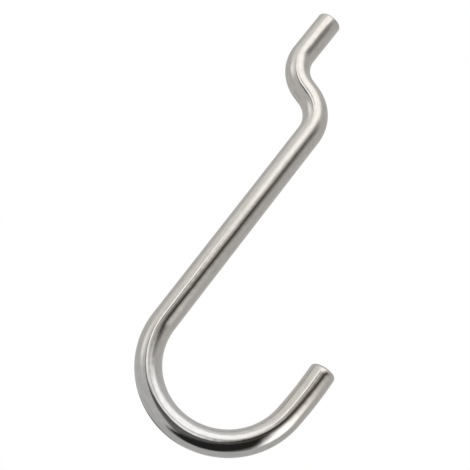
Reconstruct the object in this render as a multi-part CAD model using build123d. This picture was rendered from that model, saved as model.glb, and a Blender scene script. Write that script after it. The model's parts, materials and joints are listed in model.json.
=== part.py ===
from build123d import *
import os
from math import asin, atan2, degrees, hypot

# A pegboard hook: one length of round steel wire, cropped at both ends and bent in one plane.
# It is modelled as it hangs. +Z runs up along the shank, +X points out of the board towards the
# room, and the wire's centre line lies in the XZ plane. The origin is on the tail's axis, at the
# middle of the tail's straight wall. All sizes are in millimetres.

# Wire
wire_diameter = 5.7
tail_end_rounding = 0.6  # rounded edge of the tail's cut end
lip_end_rounding = 0.9  # rounded edge of the lip's cut end

# Board that the hook clamps on: the tail stands behind it, the shank lies in front
board_thickness = 6.35
board_clearance = 0.2  # play between the board and the wire, both sides together

# Tail and the S bend that passes through the hole
tail_length = 10.8  # straight, from the cut end to the first bend
tail_bend_inside_radius = 5.15
crank_length = 1.7  # straight between the two bends
shank_bend_inside_radius = 6.05

# Shank, hook and lip
shank_length = 53.2  # straight, from the second bend to the hook bend
hook_inside_radius = 13.15
hook_bend_angle = 173.5
lip_inside_radius = 87.0  # the last stretch is bent just enough to look nearly straight
lip_length = 12.6  # along the centre line, to the cut end

# Values that follow from the sizes above
wire_radius = wire_diameter / 2
tail_bend_radius = tail_bend_inside_radius + wire_radius
shank_bend_radius = shank_bend_inside_radius + wire_radius
hook_radius = hook_inside_radius + wire_radius
lip_radius = lip_inside_radius + wire_radius
lip_bend_angle = degrees(lip_length / lip_radius)

# Distance between the axes of the tail and the shank: the board, its play and half a wire each side
axis_offset = board_thickness + board_clearance + wire_diameter

# Both bends of the S turn by this angle, so that the tail ends up parallel to the shank
both_radii = tail_bend_radius + shank_bend_radius
crank_angle = degrees(
    atan2(both_radii, crank_length)
    + asin((axis_offset - both_radii) / hypot(both_radii, crank_length))
)

# Straight wall of the tail, without its rounded edge, centred on the origin
tail_wall = tail_length - tail_end_rounding
tail_top = tail_length - tail_wall / 2


def centre_line():
    """The wire's centre line, from the tail's cut end down to the lip's cut end."""
    down = (0, -1)
    with BuildLine(Plane.XZ) as line:
        tail = Line((0, tail_top), (0, tail_top - tail_length))
        tail_bend = JernArc(tail @ 1, down, tail_bend_radius, crank_angle)
        crank = Line(tail_bend @ 1, tail_bend @ 1 + (tail_bend % 1) * crank_length)
        shank_bend = JernArc(crank @ 1, crank % 1, shank_bend_radius, -crank_angle)
        shank = Line(shank_bend @ 1, shank_bend @ 1 + (shank_bend % 1) * shank_length)
        hook_bend = JernArc(shank @ 1, shank % 1, hook_radius, hook_bend_angle)
        JernArc(hook_bend @ 1, hook_bend % 1, lip_radius, lip_bend_angle)
    return line.line


def wire_hook():
    """The bent wire: a round section along the centre line, with its cut edges rounded."""
    path = centre_line()
    with BuildPart() as hook:
        with BuildSketch(Plane(origin=path @ 0, z_dir=path % 0)):
            Circle(wire_radius)
        sweep(path=path)
        for end, rounding in ((path @ 0, tail_end_rounding), (path @ 1, lip_end_rounding)):
            cut_face = hook.faces().filter_by(GeomType.PLANE).sort_by_distance(end)[0]
            fillet(cut_face.edges(), rounding)
    return hook.part


os.makedirs("parts", exist_ok=True)
export_step(wire_hook(), "parts/wire_hook.step")
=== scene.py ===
"""Looks of a pegboard hook: one length of drawn steel wire, bent in one plane and bright zinc plated.

The hook hangs as it does in use. +Z runs up along the shank and +X points out of the board towards
the room. The camera stands where the photograph was taken from, below the hook and rolled to its
left. The pale studio's windows, cards and dark cloth give the metal its bands.
"""

import json
import logging
import math
from dataclasses import dataclass, field
from enum import Enum

import bmesh
import bpy
from mathutils import Matrix, Vector


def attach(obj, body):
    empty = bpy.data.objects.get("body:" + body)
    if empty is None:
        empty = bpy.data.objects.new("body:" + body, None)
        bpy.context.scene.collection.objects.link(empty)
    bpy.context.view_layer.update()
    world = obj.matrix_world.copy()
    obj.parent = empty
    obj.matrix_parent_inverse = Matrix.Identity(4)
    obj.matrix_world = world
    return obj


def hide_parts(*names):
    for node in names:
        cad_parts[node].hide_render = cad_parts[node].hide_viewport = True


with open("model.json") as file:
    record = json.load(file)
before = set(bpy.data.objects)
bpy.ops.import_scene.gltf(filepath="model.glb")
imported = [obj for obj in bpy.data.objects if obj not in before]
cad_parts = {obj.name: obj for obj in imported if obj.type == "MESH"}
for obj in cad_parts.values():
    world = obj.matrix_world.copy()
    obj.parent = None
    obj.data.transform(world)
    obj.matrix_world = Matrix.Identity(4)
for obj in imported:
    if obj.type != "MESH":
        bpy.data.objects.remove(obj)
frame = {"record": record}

MM = 0.001  # metres
BODY = "root"
NODE = "wire_hook"

# The sockets of a Mix node that mixes colours: its share, its two colours and its result
MIX_SHARE, MIX_FIRST, MIX_SECOND, MIX_RESULT = 0, 6, 7, 2

# The sockets of a Map Range node: its value, the range it comes from and the range it goes to
RANGE_VALUE, FROM_LOW, FROM_HIGH, TO_LOW, TO_HIGH = 0, 1, 2, 3, 4

log = logging.getLogger("pegboard_hook")


class Finish(Enum):
    """The finishes of the wire, by their place in its list of materials."""

    DRAWN_WIRE = 0
    CROPPED_END = 1


def linear(hex_colour: str) -> tuple[float, float, float, float]:
    """Turns an sRGB colour into the linear one that the nodes work with.

    Args:
        hex_colour: The colour as "#RRGGBB".

    Returns:
        Red, green, blue and an alpha of 1.
    """
    parts = [int(hex_colour[i : i + 2], 16) / 255 for i in (1, 3, 5)]
    made = [c / 12.92 if c <= 0.04045 else ((c + 0.055) / 1.055) ** 2.4 for c in parts]
    return (*made, 1.0)


def add_node(
    tree: bpy.types.NodeTree, kind: str, links: dict | None = None, **settings
) -> bpy.types.Node:
    """Adds a node with its settings, its sockets' values and its links.

    Args:
        tree: The node tree that gets the node.
        kind: The node's type, such as "ShaderNodeMath".
        links: For each input, by name or number, the socket that feeds it or the value it holds.
        **settings: The node's own properties, such as operation="MULTIPLY".

    Returns:
        The new node.
    """
    node = tree.nodes.new(kind)
    for name, value in settings.items():
        setattr(node, name, value)
    for socket, value in (links or {}).items():
        if isinstance(value, bpy.types.NodeSocket):
            tree.links.new(value, node.inputs[socket])
        else:
            node.inputs[socket].default_value = value
    return node


def mix_colours(
    tree: bpy.types.NodeTree,
    share: bpy.types.NodeSocket,
    first: bpy.types.NodeSocket | tuple[float, ...],
    second: bpy.types.NodeSocket | tuple[float, ...],
) -> bpy.types.NodeSocket:
    """Adds a mix of two colours.

    Args:
        tree: The node tree.
        share: How much of the second colour there is, from 0 to 1.
        first: The first colour, or the socket that gives it.
        second: The second colour, or the socket that gives it.

    Returns:
        The mixed colour.
    """
    colours = {MIX_SHARE: share, MIX_FIRST: first, MIX_SECOND: second}
    return add_node(tree, "ShaderNodeMix", colours, data_type="RGBA").outputs[MIX_RESULT]


def new_tree(owner: bpy.types.Material | bpy.types.World) -> bpy.types.NodeTree:
    """Gives a material or a world an empty node tree.

    Args:
        owner: The material or world.

    Returns:
        Its node tree, with no nodes.
    """
    owner.use_nodes = True
    owner.node_tree.nodes.clear()
    return owner.node_tree


@dataclass(frozen=True)
class Stretch:
    """One stretch of the wire's centre line, in the plane Y = 0.

    Attributes:
        start: Where it starts, in metres.
        heading: Which way the wire runs there, as a unit vector.
        length: Its length along the centre line, in metres.
        turn: How far it bends, in radians: positive towards +X, 0 for a straight.
    """

    start: Vector
    heading: Vector
    length: float
    turn: float

    @property
    def radius(self) -> float:
        """The centre line's bend radius, in metres."""
        return self.length / abs(self.turn)

    @property
    def centre(self) -> Vector:
        """The point that the bend turns about."""
        left = Vector((-self.heading.z, 0, self.heading.x))
        return self.start + left * math.copysign(self.radius, self.turn)

    def at(self, along: float) -> tuple[Vector, Vector]:
        """Follows the stretch from its start.

        Args:
            along: The distance from the start, in metres.

        Returns:
            The point there and the wire's heading there.
        """
        if not self.turn:
            return self.start + self.heading * along, self.heading
        swing = Matrix.Rotation(self.turn * along / self.length, 3, Vector((0, -1, 0)))
        return self.centre + swing @ (self.start - self.centre), swing @ self.heading

    def nearest(self, point: Vector) -> float:
        """Finds where along the stretch a point of the wire belongs.

        Args:
            point: A point on or in the wire.

        Returns:
            The distance from the stretch's start, held within the stretch.
        """
        flat = Vector((point.x, 0, point.z))
        if not self.turn:
            along = (flat - self.start).dot(self.heading)
        else:
            arm, place = self.start - self.centre, flat - self.centre
            cross = arm.z * place.x - arm.x * place.z
            angle = math.atan2(-cross * math.copysign(1, self.turn), arm.dot(place))
            along = angle * self.radius
        return min(max(along, 0.0), self.length)


@dataclass
class WireForm:
    """The bent wire's sizes, in millimetres, and its centre line.

    The wire's thickness and the tail's straight wall are read from the frame's tail mount, and the
    board's front from its own mount. The rest are the driving sizes of the bends.
    """

    tail_end_rounding: float = 0.6
    lip_end_rounding: float = 0.9
    tail_bend_inside_radius: float = 5.15
    crank_length: float = 1.7
    shank_bend_inside_radius: float = 6.05
    shank_length: float = 53.2
    hook_inside_radius: float = 13.15
    hook_bend_angle: float = 173.5
    lip_inside_radius: float = 87.0
    lip_length: float = 12.6
    wire_radius: float = field(init=False)
    tail_wall: float = field(init=False)
    axis_offset: float = field(init=False)

    def __post_init__(self) -> None:
        """Reads the sizes that the frame's mounts hold."""
        mounts = {mount["name"]: mount for mount in frame["record"]["mounts"]}
        self.wire_radius = mounts["tail"]["dims"]["r_mm"]
        self.tail_wall = mounts["tail"]["dims"]["length_mm"]
        self.axis_offset = mounts["board_front"]["pos_m"][0] / MM + self.wire_radius

    @property
    def crank_angle(self) -> float:
        """The turn of both bends of the S, which brings the shank parallel to the tail, in degrees."""
        radii = self.tail_bend_inside_radius + self.shank_bend_inside_radius + 2 * self.wire_radius
        reach = math.hypot(radii, self.crank_length)
        return math.degrees(
            math.atan2(radii, self.crank_length) + math.asin((self.axis_offset - radii) / reach)
        )

    def centre_line(self) -> list[Stretch]:
        """Lays out the wire's centre line.

        Returns:
            Its stretches, from the tail's cut end down to the lip's cut end.
        """
        tail_length = self.tail_wall + self.tail_end_rounding
        lip_turn = math.degrees(self.lip_length / (self.lip_inside_radius + self.wire_radius))
        plan = (
            (tail_length, 0.0, 0.0),
            (None, self.tail_bend_inside_radius, self.crank_angle),
            (self.crank_length, 0.0, 0.0),
            (None, self.shank_bend_inside_radius, -self.crank_angle),
            (self.shank_length, 0.0, 0.0),
            (None, self.hook_inside_radius, self.hook_bend_angle),
            (None, self.lip_inside_radius, lip_turn),
        )
        start = Vector((0, 0, tail_length - self.tail_wall / 2)) * MM
        heading = Vector((0, 0, -1))
        line = []
        for straight, inside, degrees in plan:
            turn = math.radians(degrees)
            length = straight if straight is not None else (inside + self.wire_radius) * abs(turn)
            line.append(Stretch(start.copy(), heading.copy(), length * MM, turn))
            start, heading = line[-1].at(length * MM)
        return line


@dataclass(frozen=True)
class BrightZinc:
    """Bright zinc plating on cold drawn low carbon steel wire.

    The plating levels out like a mirror, so the eye sees sharp bands of the room. They waver a
    little, because the wire isn't quite even and the plating has a faint orange peel. What is left
    of the drawing die's lines runs along the wire. The clear passivation over the zinc is faintly
    straw coloured, and neutral at the bottom of the hook, where it drained and dried.
    """

    straw_cast: str = "#E2DBD1"
    clear_cast: str = "#DEDCD8"
    drained_cast: str = "#DDDDDD"
    grain_shade: str = "#D0CCC7"
    roughness: float = 0.055
    line_roughness: float = 0.12
    line_range: tuple[float, float] = (0.4, 0.75)  # of the lines' noise, from smooth to rough
    edge_roughness: float = 0.32  # on the cut ends' rounded edges, which tumbling has dulled
    edge_start: float = 0.3  # mm from the cut end to where it starts to be less dull
    edge_width: float = 1.3  # mm from the cut end to where the wire is bright again
    cast_size: float = 30.0  # mm along the wire from one cast to the next
    drained_below: float = -90.0  # mm, the height in the frame where the cast is all neutral
    drained_from: float = -76.0  # mm, the height where it starts to be
    die_line_width: float = 0.32  # mm; real die lines are finer than a render of the whole hook shows
    die_line_length: float = 26.0  # mm
    die_line_height: float = 0.003  # mm
    grain_width: float = 0.55  # mm; as with the die lines
    grain_length: float = 1.6  # mm
    grain_range: tuple[float, float] = (0.42, 0.68)  # of the grain's noise, from none to full
    grain_strength: float = 0.75  # how much of its shade the strongest grain has
    peel_size: float = 1.1  # mm from one dimple of the orange peel to the next
    peel_height: float = 0.008  # mm
    wave_length: float = 7.0  # mm between the wire's slight waves
    wave_height: float = 0.03  # mm
    layer_share: float = 0.55  # of each layer of noise's strength that the next finer one has

    def pattern(
        self, tree: bpy.types.NodeTree, across: float, along: float, detail: float = 0.0
    ) -> bpy.types.NodeSocket:
        """Adds a noise whose cells are longer along the wire than round it.

        Args:
            tree: The material's node tree.
            across: A cell's width round the wire, in mm.
            along: A cell's length along the wire, in mm.
            detail: How many finer layers the noise has.

        Returns:
            The noise, from 0 to 1.
        """
        place = add_node(tree, "ShaderNodeAttribute", attribute_name=PlatedWire.STRAIGHTENED)
        cells = (1 / (across * MM), 1 / (across * MM), 1 / (along * MM))
        scaled = add_node(
            tree, "ShaderNodeMapping", {"Vector": place.outputs["Vector"], "Scale": cells}
        )
        noise = add_node(
            tree,
            "ShaderNodeTexNoise",
            {
                "Vector": scaled.outputs["Vector"],
                "Scale": 1.0,
                "Detail": detail,
                "Roughness": self.layer_share,
            },
        )
        return noise.outputs["Fac"]

    def colour(self, tree: bpy.types.NodeTree) -> bpy.types.NodeSocket:
        """Adds the plating's colour, with its casts and its grain.

        Args:
            tree: The material's node tree.

        Returns:
            The colour.
        """
        cast = self.pattern(tree, self.cast_size / 2, self.cast_size, 1.0)
        grain = self.pattern(tree, self.grain_width, self.grain_length, 3.0)
        casts = mix_colours(tree, cast, linear(self.clear_cast), linear(self.straw_cast))
        place = add_node(tree, "ShaderNodeTexCoord").outputs["Object"]
        height = add_node(tree, "ShaderNodeSeparateXYZ", {0: place}).outputs["Z"]
        drained = add_node(
            tree,
            "ShaderNodeMapRange",
            {
                RANGE_VALUE: height,
                FROM_LOW: self.drained_below * MM,
                FROM_HIGH: self.drained_from * MM,
                TO_LOW: 1.0,
                TO_HIGH: 0.0,
            },
            interpolation_type="SMOOTHSTEP",
        )
        settled = mix_colours(tree, drained.outputs[0], casts, linear(self.drained_cast))
        grain_share = add_node(
            tree,
            "ShaderNodeMapRange",
            {
                RANGE_VALUE: grain,
                FROM_LOW: self.grain_range[0],
                FROM_HIGH: self.grain_range[1],
                TO_LOW: 0.0,
                TO_HIGH: self.grain_strength,
            },
        )
        return mix_colours(tree, grain_share.outputs[0], settled, linear(self.grain_shade))

    def material(self) -> bpy.types.Material:
        """Makes the material.

        Returns:
            The plated wire's material.
        """
        material = bpy.data.materials.new("bright_zinc_on_drawn_steel")
        tree = new_tree(material)
        lines = self.pattern(tree, self.die_line_width, self.die_line_length, 2.0)
        roughness = add_node(
            tree,
            "ShaderNodeMapRange",
            {
                RANGE_VALUE: lines,
                FROM_LOW: self.line_range[0],
                FROM_HIGH: self.line_range[1],
                TO_LOW: self.roughness,
                TO_HIGH: self.line_roughness,
            },
        )
        cut = add_node(tree, "ShaderNodeAttribute", attribute_name=PlatedWire.FROM_CUT)
        dulled = add_node(
            tree,
            "ShaderNodeMapRange",
            {
                RANGE_VALUE: cut.outputs["Fac"],
                FROM_LOW: self.edge_start * MM,
                FROM_HIGH: self.edge_width * MM,
                TO_LOW: self.edge_roughness,
                TO_HIGH: 0.0,
            },
            interpolation_type="SMOOTHSTEP",
        )
        roughest = add_node(
            tree, "ShaderNodeMath", {0: roughness.outputs[0], 1: dulled.outputs[0]}, operation="MAXIMUM"
        )
        relief = (
            (self.pattern(tree, self.wave_length / 2, self.wave_length), self.wave_height),
            (self.pattern(tree, self.peel_size, self.peel_size), self.peel_height),
            (lines, self.die_line_height),
        )
        shape = {}
        for pattern, height in relief:
            links = {"Height": pattern, "Distance": height * MM, **shape}
            shape = {"Normal": add_node(tree, "ShaderNodeBump", links).outputs["Normal"]}
        shader = add_node(
            tree,
            "ShaderNodeBsdfPrincipled",
            {
                "Base Color": self.colour(tree),
                "Metallic": 1.0,
                "Roughness": roughest.outputs[0],
                **shape,
            },
        )
        add_node(tree, "ShaderNodeOutputMaterial", {"Surface": shader.outputs[0]})
        return material


@dataclass(frozen=True)
class CroppedEnd:
    """The wire's cropped end, tumbled and plated over.

    The blade leaves fine parallel lines and a grainy break, so the end is duller than the wire and
    shows no clear picture of the room.
    """

    plating: str = "#CFCFCC"
    roughness: float = 0.34
    blade_line_width: float = 0.35  # mm
    blade_line_length: float = 50.0  # mm, longer than the end is wide
    blade_line_height: float = 0.01  # mm
    grain_size: float = 0.25  # mm
    grain_height: float = 0.015  # mm

    def material(self) -> bpy.types.Material:
        """Makes the material.

        Returns:
            The cropped end's material.
        """
        material = bpy.data.materials.new("zinc_on_cropped_steel")
        tree = new_tree(material)
        place = add_node(tree, "ShaderNodeTexCoord").outputs["Object"]
        across = 1 / (self.blade_line_width * MM)
        along = 1 / (self.blade_line_length * MM)
        blade = add_node(tree, "ShaderNodeMapping", {"Vector": place, "Scale": (across, along, along)})
        patterns = (
            (blade.outputs[0], 1.0, 2.0, self.blade_line_height),
            (place, 1 / (self.grain_size * MM), 3.0, self.grain_height),
        )
        shape = {}
        for vector, scale, detail, height in patterns:
            noise = add_node(
                tree, "ShaderNodeTexNoise", {"Vector": vector, "Scale": scale, "Detail": detail}
            )
            links = {"Height": noise.outputs["Fac"], "Distance": height * MM, **shape}
            shape = {"Normal": add_node(tree, "ShaderNodeBump", links).outputs["Normal"]}
        shader = add_node(
            tree,
            "ShaderNodeBsdfPrincipled",
            {
                "Base Color": linear(self.plating),
                "Metallic": 1.0,
                "Roughness": self.roughness,
                **shape,
            },
        )
        add_node(tree, "ShaderNodeOutputMaterial", {"Surface": shader.outputs[0]})
        return material


@dataclass
class PlatedWire:
    """The whole hook, modelled as the wire is made: a round section led along its centre line.

    Attributes:
        form: The wire's sizes.
        sides: How many flats stand for the round section.
        straight_step: The longest step along a straight, in mm.
        bend_step: The largest turn of one step in a bend, in degrees.
        fewest_bend_steps: The fewest steps of a bend.
        rounding_steps: How many steps round off a cut edge.
        end_inset: Each ring of faces on a cut end, as a share of the flat face's radius.
        seam_reach: How near two points of a seam are, in mm, to be one.
        flat_reach: How near a face is to a cut end's plane, in mm, to be on it.
    """

    STRAIGHTENED = "straightened_wire"
    FROM_CUT = "from_cut_end"

    form: WireForm = field(default_factory=WireForm)
    sides: int = 96
    straight_step: float = 4.0
    bend_step: float = 2.5
    fewest_bend_steps: int = 8
    rounding_steps: int = 6
    end_inset: float = 0.35
    seam_reach: float = 0.001
    flat_reach: float = 0.02

    def build(self) -> bpy.types.Object:
        """Models the wire and gives it its place in the frame.

        Returns:
            The finished piece.
        """
        piece = self.lead_section()
        self.close_ends(piece)
        self.mark_straightened(piece)
        self.dress(piece)
        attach(piece, BODY)
        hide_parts(NODE)
        log.info("%s: %d faces", piece.name, len(piece.data.polygons))
        return piece

    def lead_section(self) -> bpy.types.Object:
        """Extrudes and spins a ring along the centre line.

        Returns:
            An open tube, from the tail's cut end to the lip's cut end.
        """
        line = self.form.centre_line()
        bpy.ops.object.select_all(action="DESELECT")
        bpy.ops.mesh.primitive_circle_add(
            vertices=self.sides, radius=self.form.wire_radius * MM, location=line[0].start
        )
        bpy.ops.object.transform_apply(location=True, rotation=True, scale=True)
        piece = bpy.context.object
        piece.name = "bent_plated_wire"
        bpy.ops.object.mode_set(mode="EDIT")
        bpy.ops.mesh.select_all(action="SELECT")
        for stretch in line:
            if stretch.turn:
                self.spin(stretch)
            else:
                self.extrude(stretch)
        bpy.ops.mesh.select_all(action="SELECT")
        bpy.ops.mesh.remove_doubles(threshold=self.seam_reach * MM)
        bpy.ops.mesh.normals_make_consistent(inside=False)
        bpy.ops.object.mode_set(mode="OBJECT")
        return piece

    def extrude(self, stretch: Stretch) -> None:
        """Extrudes the selected ring along a straight stretch.

        Args:
            stretch: The straight stretch.
        """
        steps = max(1, round(stretch.length / (self.straight_step * MM)))
        for _ in range(steps):
            bpy.ops.mesh.extrude_region_move(
                TRANSFORM_OT_translate={"value": stretch.heading * (stretch.length / steps)}
            )

    def spin(self, stretch: Stretch) -> None:
        """Spins the selected ring about the centre of a bend.

        Args:
            stretch: The bend.
        """
        degrees = math.degrees(abs(stretch.turn))
        steps = max(self.fewest_bend_steps, math.ceil(degrees / self.bend_step))
        bpy.ops.mesh.spin(steps=steps, angle=stretch.turn, center=stretch.centre, axis=(0, 1, 0))

    def close_ends(self, piece: bpy.types.Object) -> None:
        """Caps the tube's two ends and rounds their cut edges.

        Args:
            piece: The open tube.
        """
        line = self.form.centre_line()
        lip_end = line[-1].at(line[-1].length)[0]
        ends = ((line[0].start, self.form.tail_end_rounding), (lip_end, self.form.lip_end_rounding))
        for place, rounding in ends:
            self.close_end(piece, place, rounding * MM)

    def close_end(self, piece: bpy.types.Object, place: Vector, rounding: float) -> None:
        """Caps one end of the tube and rounds its cut edge.

        Args:
            piece: The tube.
            place: The middle of the cut end.
            rounding: The cut edge's radius, in metres.
        """
        reach = (self.form.wire_radius + self.flat_reach) * MM
        bpy.ops.object.mode_set(mode="EDIT")
        bpy.ops.mesh.select_all(action="DESELECT")
        mesh = bmesh.from_edit_mesh(piece.data)
        for edge in mesh.edges:
            if edge.is_boundary and all((vertex.co - place).length < reach for vertex in edge.verts):
                edge.select_set(True)
        bmesh.update_edit_mesh(piece.data)
        bpy.ops.mesh.edge_face_add()
        bpy.ops.mesh.bevel(
            offset=rounding,
            segments=self.rounding_steps,
            profile=0.5,
            affect="EDGES",
            clamp_overlap=False,
        )
        bpy.ops.mesh.select_all(action="DESELECT")
        mesh = bmesh.from_edit_mesh(piece.data)
        for face in mesh.faces:
            if len(face.verts) == self.sides and (face.calc_center_median() - place).length < reach:
                face.select_set(True)
        bmesh.update_edit_mesh(piece.data)
        ring = (self.form.wire_radius * MM - rounding) * self.end_inset
        bpy.ops.mesh.inset(thickness=ring)
        bpy.ops.mesh.inset(thickness=ring)
        bpy.ops.mesh.poke()
        bpy.ops.object.mode_set(mode="OBJECT")

    def mark_straightened(self, piece: bpy.types.Object) -> None:
        """Stores where each point was before the wire was bent, and how far from a cut end.

        The patterns of the finish follow the wire through its bends by these.

        Args:
            piece: The closed wire.
        """
        line = self.form.centre_line()
        starts = [sum(stretch.length for stretch in line[:i]) for i in range(len(line))]
        total = sum(stretch.length for stretch in line)
        values = []
        from_cut = []
        for vertex in piece.data.vertices:
            flat = Vector((vertex.co.x, 0, vertex.co.z))
            found = []
            for start, stretch in zip(starts, line):
                along = stretch.nearest(vertex.co)
                point, heading = stretch.at(along)
                found.append(((flat - point).length, start + along, point, heading))
            _, along, point, heading = min(found, key=lambda entry: entry[0])
            side = Vector((-heading.z, 0, heading.x))
            along += (flat - point).dot(heading)
            values.extend((vertex.co.y, (flat - point).dot(side), along))
            from_cut.append(min(along, total - along))
        attribute = piece.data.attributes.new(self.STRAIGHTENED, "FLOAT_VECTOR", "POINT")
        attribute.data.foreach_set("vector", values)
        attribute = piece.data.attributes.new(self.FROM_CUT, "FLOAT", "POINT")
        attribute.data.foreach_set("value", from_cut)

    def dress(self, piece: bpy.types.Object) -> None:
        """Smooths the wire and gives it its finishes.

        Args:
            piece: The closed wire.
        """
        finishes = {Finish.DRAWN_WIRE: BrightZinc(), Finish.CROPPED_END: CroppedEnd()}
        for finish in Finish:
            piece.data.materials.append(finishes[finish].material())
        line = self.form.centre_line()
        ends = ((line[0].start, line[0].heading), line[-1].at(line[-1].length))
        reach = self.flat_reach * MM
        for face in piece.data.polygons:
            cut = any(abs((face.center - place).dot(heading)) < reach for place, heading in ends)
            face.material_index = (Finish.CROPPED_END if cut else Finish.DRAWN_WIRE).value
        bpy.ops.object.select_all(action="DESELECT")
        piece.select_set(True)
        bpy.context.view_layer.objects.active = piece
        bpy.ops.object.shade_smooth()


@dataclass(frozen=True)
class PhotoCamera:
    """The camera that took the photograph.

    Attributes:
        place: Where its lens is, in mm.
        aim: The point of the hook's plane in the middle of its picture, in mm.
        roll: How far its top leans to its left, in degrees.
        lens: Its focal length on the sensor, in mm.
        sensor: The sensor's width, in mm.
        nearest: How near it sees, in metres.
        farthest: How far it sees, in metres.
    """

    place: tuple[float, float, float] = (59.46, -239.68, -138.61)
    aim: tuple[float, float, float] = (12.95, 0.0, -50.37)
    roll: float = 37.77
    lens: float = 94.02
    sensor: float = 36.0
    nearest: float = 0.01
    farthest: float = 20.0

    @property
    def turn(self) -> Matrix:
        """The camera's own right, up and back directions, as the columns of a matrix."""
        back = (Vector(self.place) - Vector(self.aim)).normalized()
        right = Vector((0, 0, 1)).cross(back).normalized()
        upright = Matrix((right, back.cross(right), back)).transposed()
        return upright @ Matrix.Rotation(math.radians(self.roll), 3, "Z")

    def direction(self, right: float, up: float) -> Vector:
        """Turns a place in the room, as seen from the hook, into a direction.

        Args:
            right: Degrees from the camera towards its right.
            up: Degrees from the camera towards its top.

        Returns:
            The direction from the hook, as a unit vector of the frame.
        """
        away = math.radians(math.hypot(right, up))
        round_lens = math.atan2(up, right)
        own = (
            math.sin(away) * math.cos(round_lens),
            math.sin(away) * math.sin(round_lens),
            math.cos(away),
        )
        return self.turn @ Vector(own)

    def build(self) -> bpy.types.Object:
        """Makes the camera and sets it as the scene's.

        Returns:
            The camera.
        """
        data = bpy.data.cameras.new("photo_camera")
        data.lens = self.lens
        data.sensor_width = self.sensor
        data.clip_start = self.nearest
        data.clip_end = self.farthest
        camera = bpy.data.objects.new("photo_camera", data)
        camera.matrix_world = Matrix.Translation(Vector(self.place) * MM) @ self.turn.to_4x4()
        bpy.context.scene.collection.objects.link(camera)
        bpy.context.scene.camera = camera
        log.info("%s: %.1f mm lens", camera.name, self.lens)
        return camera


@dataclass(frozen=True)
class StudioCard:
    """A card, window or dark corner of the studio, as wide and high as it looks from the hook.

    Attributes:
        name: What it is.
        right: Degrees from the camera towards its right.
        up: Degrees from the camera towards its top.
        turn: How far the card is turned, in degrees, anticlockwise as seen from behind it.
        half_width: Half its width, in degrees.
        half_height: Half its height, in degrees.
        soft_width: How many degrees its left and right edges fade over.
        soft_height: How many degrees its lower and upper edges fade over.
        light: Its brightness, where 1 is white.
        tint: Its colour, before the brightness.
    """

    name: str
    right: float
    up: float
    turn: float
    half_width: float
    half_height: float
    soft_width: float
    soft_height: float
    light: float
    tint: str = "#FFFFFF"

    @property
    def colour(self) -> tuple[float, float, float, float]:
        """The light that it sends out."""
        return (*(part * self.light for part in linear(self.tint)[:3]), 1.0)


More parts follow.
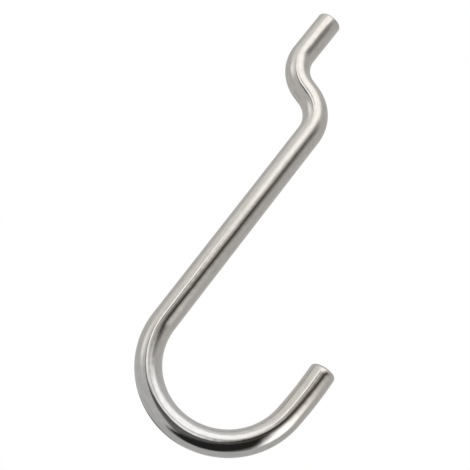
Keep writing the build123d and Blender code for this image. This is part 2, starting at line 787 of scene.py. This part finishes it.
@dataclass
class Studio:
    """The room around the hook: a pale grey surround with cards, and a pale floor.

    The cards are hung from the farthest back to the nearest, so a later one covers an earlier one.

    Attributes:
        camera: The camera that the cards stand round.
        surround: The walls' brightness, where 1 is white.
        floor_drop: The floor's depth below the frame's origin, in mm.
        floor_size: The floor's width, in mm.
        floor_colour: The floor's colour.
        floor_roughness: The floor's roughness, as matt paper has.
        floor_gloss: The floor's specular level, as matt paper has.
        lamp_place: Where the soft lamp over the floor is, in mm.
        lamp_size: The lamp's width, in mm.
        lamp_power: The lamp's power, in watts.
    """

    camera: PhotoCamera
    surround: float = 0.55
    floor_drop: float = 190.0
    floor_size: float = 6000.0
    floor_colour: str = "#F4F4F2"
    floor_roughness: float = 0.9
    floor_gloss: float = 0.2
    lamp_place: tuple[float, float, float] = (1200.0, -1000.0, 3800.0)
    lamp_size: float = 3000.0
    lamp_power: float = 60.0

    # Each card's name, right, up, turn, half width and height, soft width and height, light and tint
    CARDS = (
        StudioCard("window behind the hook", -25, -155, -145, 20, 30, 10, 30, 1.0),
        StudioCard("white backdrop behind the hook", 0, -180, 0, 20, 20, 10, 10, 1.0),
        StudioCard("doorway behind the hook", -100, -105, -145, 10, 30, 10, 20, 0.2),
        StudioCard("side window", -50, 50, 0, 15, 10, 20, 20, 1.1),
        StudioCard("ceiling", 0, 80, 0, 40, 25, 30, 50, 0.8),
        StudioCard("window", 20, 60, 20, 25, 20, 30, 15, 1.3),
        StudioCard("dim wall", 0, -25, 10, 30, 80, 10, 15, 0.15),
        StudioCard("black cloth", 0, -25, 35, 50, 25, 25, 15, 0.02),
        StudioCard("white card", 50, -30, 85, 70, 15, 30, 20, 1.6),
        StudioCard("black card", 30, 22, -5, 45, 12, 30, 25, 0.05, "#FFE4C8"),
        StudioCard("right wall", 90, 15, 0, 25, 30, 10, 50, 0.5),
        StudioCard("table", 0, -100, 0, 80, 40, 20, 15, 0.5),
        StudioCard("gap between the cards", 0, 30, -10, 4, 10, 10, 10, 1.3),
        StudioCard("window's lower edge", -10, 45, 80, 12, 6, 10, 10, 1.3),
    )

    def build(self) -> None:
        """Lights the scene and lays the floor."""
        self.light_room()
        self.hang_lamp()
        self.lay_floor()

    def card_share(
        self, tree: bpy.types.NodeTree, look: bpy.types.NodeSocket, card: StudioCard
    ) -> bpy.types.NodeSocket:
        """Adds the nodes that say how much of a card is seen in a direction.

        Args:
            tree: The world's node tree.
            look: The direction that is looked in.
            card: The card.

        Returns:
            1 on the card, 0 off it, and between them along its soft edges.
        """
        facing = self.camera.direction(card.right, card.up)
        own_right = self.camera.turn.col[0]
        flat_right = (own_right - facing * own_right.dot(facing)).normalized()
        flat_up = facing.cross(flat_right)
        swing = Matrix.Rotation(math.radians(card.turn), 3, facing)
        depth = add_node(tree, "ShaderNodeVectorMath", {0: look, 1: facing}, operation="DOT_PRODUCT")
        shares = []
        sides = (
            (swing @ flat_right, card.half_width, card.soft_width),
            (swing @ flat_up, card.half_height, card.soft_height),
        )
        for side, half, soft in sides:
            reach = add_node(tree, "ShaderNodeVectorMath", {0: look, 1: side}, operation="DOT_PRODUCT")
            angle = add_node(
                tree,
                "ShaderNodeMath",
                {0: reach.outputs["Value"], 1: depth.outputs["Value"]},
                operation="ARCTAN2",
            )
            size = add_node(tree, "ShaderNodeMath", {0: angle.outputs[0]}, operation="ABSOLUTE")
            edge = {
                RANGE_VALUE: size.outputs[0],
                FROM_LOW: math.radians(half - soft / 2),
                FROM_HIGH: math.radians(half + soft / 2),
                TO_LOW: 1.0,
                TO_HIGH: 0.0,
            }
            share = add_node(tree, "ShaderNodeMapRange", edge, interpolation_type="SMOOTHSTEP")
            shares.append(share.outputs[0])
        both = add_node(tree, "ShaderNodeMath", {0: shares[0], 1: shares[1]}, operation="MULTIPLY")
        return both.outputs[0]

    def light_room(self) -> None:
        """Makes the world: the studio that the metal and the floor see, and the camera's white."""
        world = bpy.data.worlds.new("pale_studio")
        bpy.context.scene.world = world
        tree = new_tree(world)
        look = add_node(tree, "ShaderNodeTexCoord").outputs["Generated"]
        light = add_node(tree, "ShaderNodeRGB").outputs[0]
        light.default_value = (self.surround, self.surround, self.surround, 1.0)
        for card in self.CARDS:
            share = self.card_share(tree, look, card)
            light = mix_colours(tree, share, light, card.colour)
        room = add_node(tree, "ShaderNodeBackground", {"Color": light, "Strength": 1.0})
        white = add_node(tree, "ShaderNodeBackground", {"Color": (1, 1, 1, 1), "Strength": 1.0})
        seen = add_node(tree, "ShaderNodeLightPath").outputs["Is Camera Ray"]
        both = add_node(tree, "ShaderNodeMixShader", {0: seen, 1: room.outputs[0], 2: white.outputs[0]})
        add_node(tree, "ShaderNodeOutputWorld", {"Surface": both.outputs[0]})
        log.info("studio: %d cards", len(self.CARDS))

    def hang_lamp(self) -> None:
        """Hangs a soft lamp over the floor, which the metal doesn't show."""
        data = bpy.data.lights.new("soft_lamp", "AREA")
        data.size = self.lamp_size * MM
        data.energy = self.lamp_power
        lamp = bpy.data.objects.new("soft_lamp", data)
        lamp.location = Vector(self.lamp_place) * MM
        lamp.rotation_euler = lamp.location.to_track_quat("Z", "Y").to_euler()
        lamp.visible_glossy = False
        bpy.context.scene.collection.objects.link(lamp)
        log.info("%s: %.0f W", lamp.name, self.lamp_power)

    def lay_floor(self) -> None:
        """Lays the pale floor, well below the camera."""
        bpy.ops.object.select_all(action="DESELECT")
        bpy.ops.mesh.primitive_plane_add(
            size=self.floor_size * MM, location=(0, 0, -self.floor_drop * MM)
        )
        floor = bpy.context.object
        floor.name = "pale_floor"
        floor.visible_glossy = False
        bpy.ops.object.transform_apply(location=True, rotation=True, scale=True)
        material = bpy.data.materials.new("matt_white_paper")
        tree = new_tree(material)
        shader = add_node(
            tree,
            "ShaderNodeBsdfPrincipled",
            {
                "Base Color": linear(self.floor_colour),
                "Roughness": self.floor_roughness,
                "Specular IOR Level": self.floor_gloss,
            },
        )
        add_node(tree, "ShaderNodeOutputMaterial", {"Surface": shader.outputs[0]})
        floor.data.materials.append(material)
        log.info("%s: %.0f mm below the hook's origin", floor.name, self.floor_drop)


def main() -> None:
    """Builds the hook's looks, the camera and the studio."""
    logging.basicConfig(level=logging.INFO, format="%(name)s: %(message)s")
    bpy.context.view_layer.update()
    scene = bpy.context.scene
    scene.view_settings.view_transform = "Standard"
    camera = PhotoCamera()
    camera.build()
    PlatedWire().build()
    Studio(camera).build()


if __name__ == "__main__":
    main()
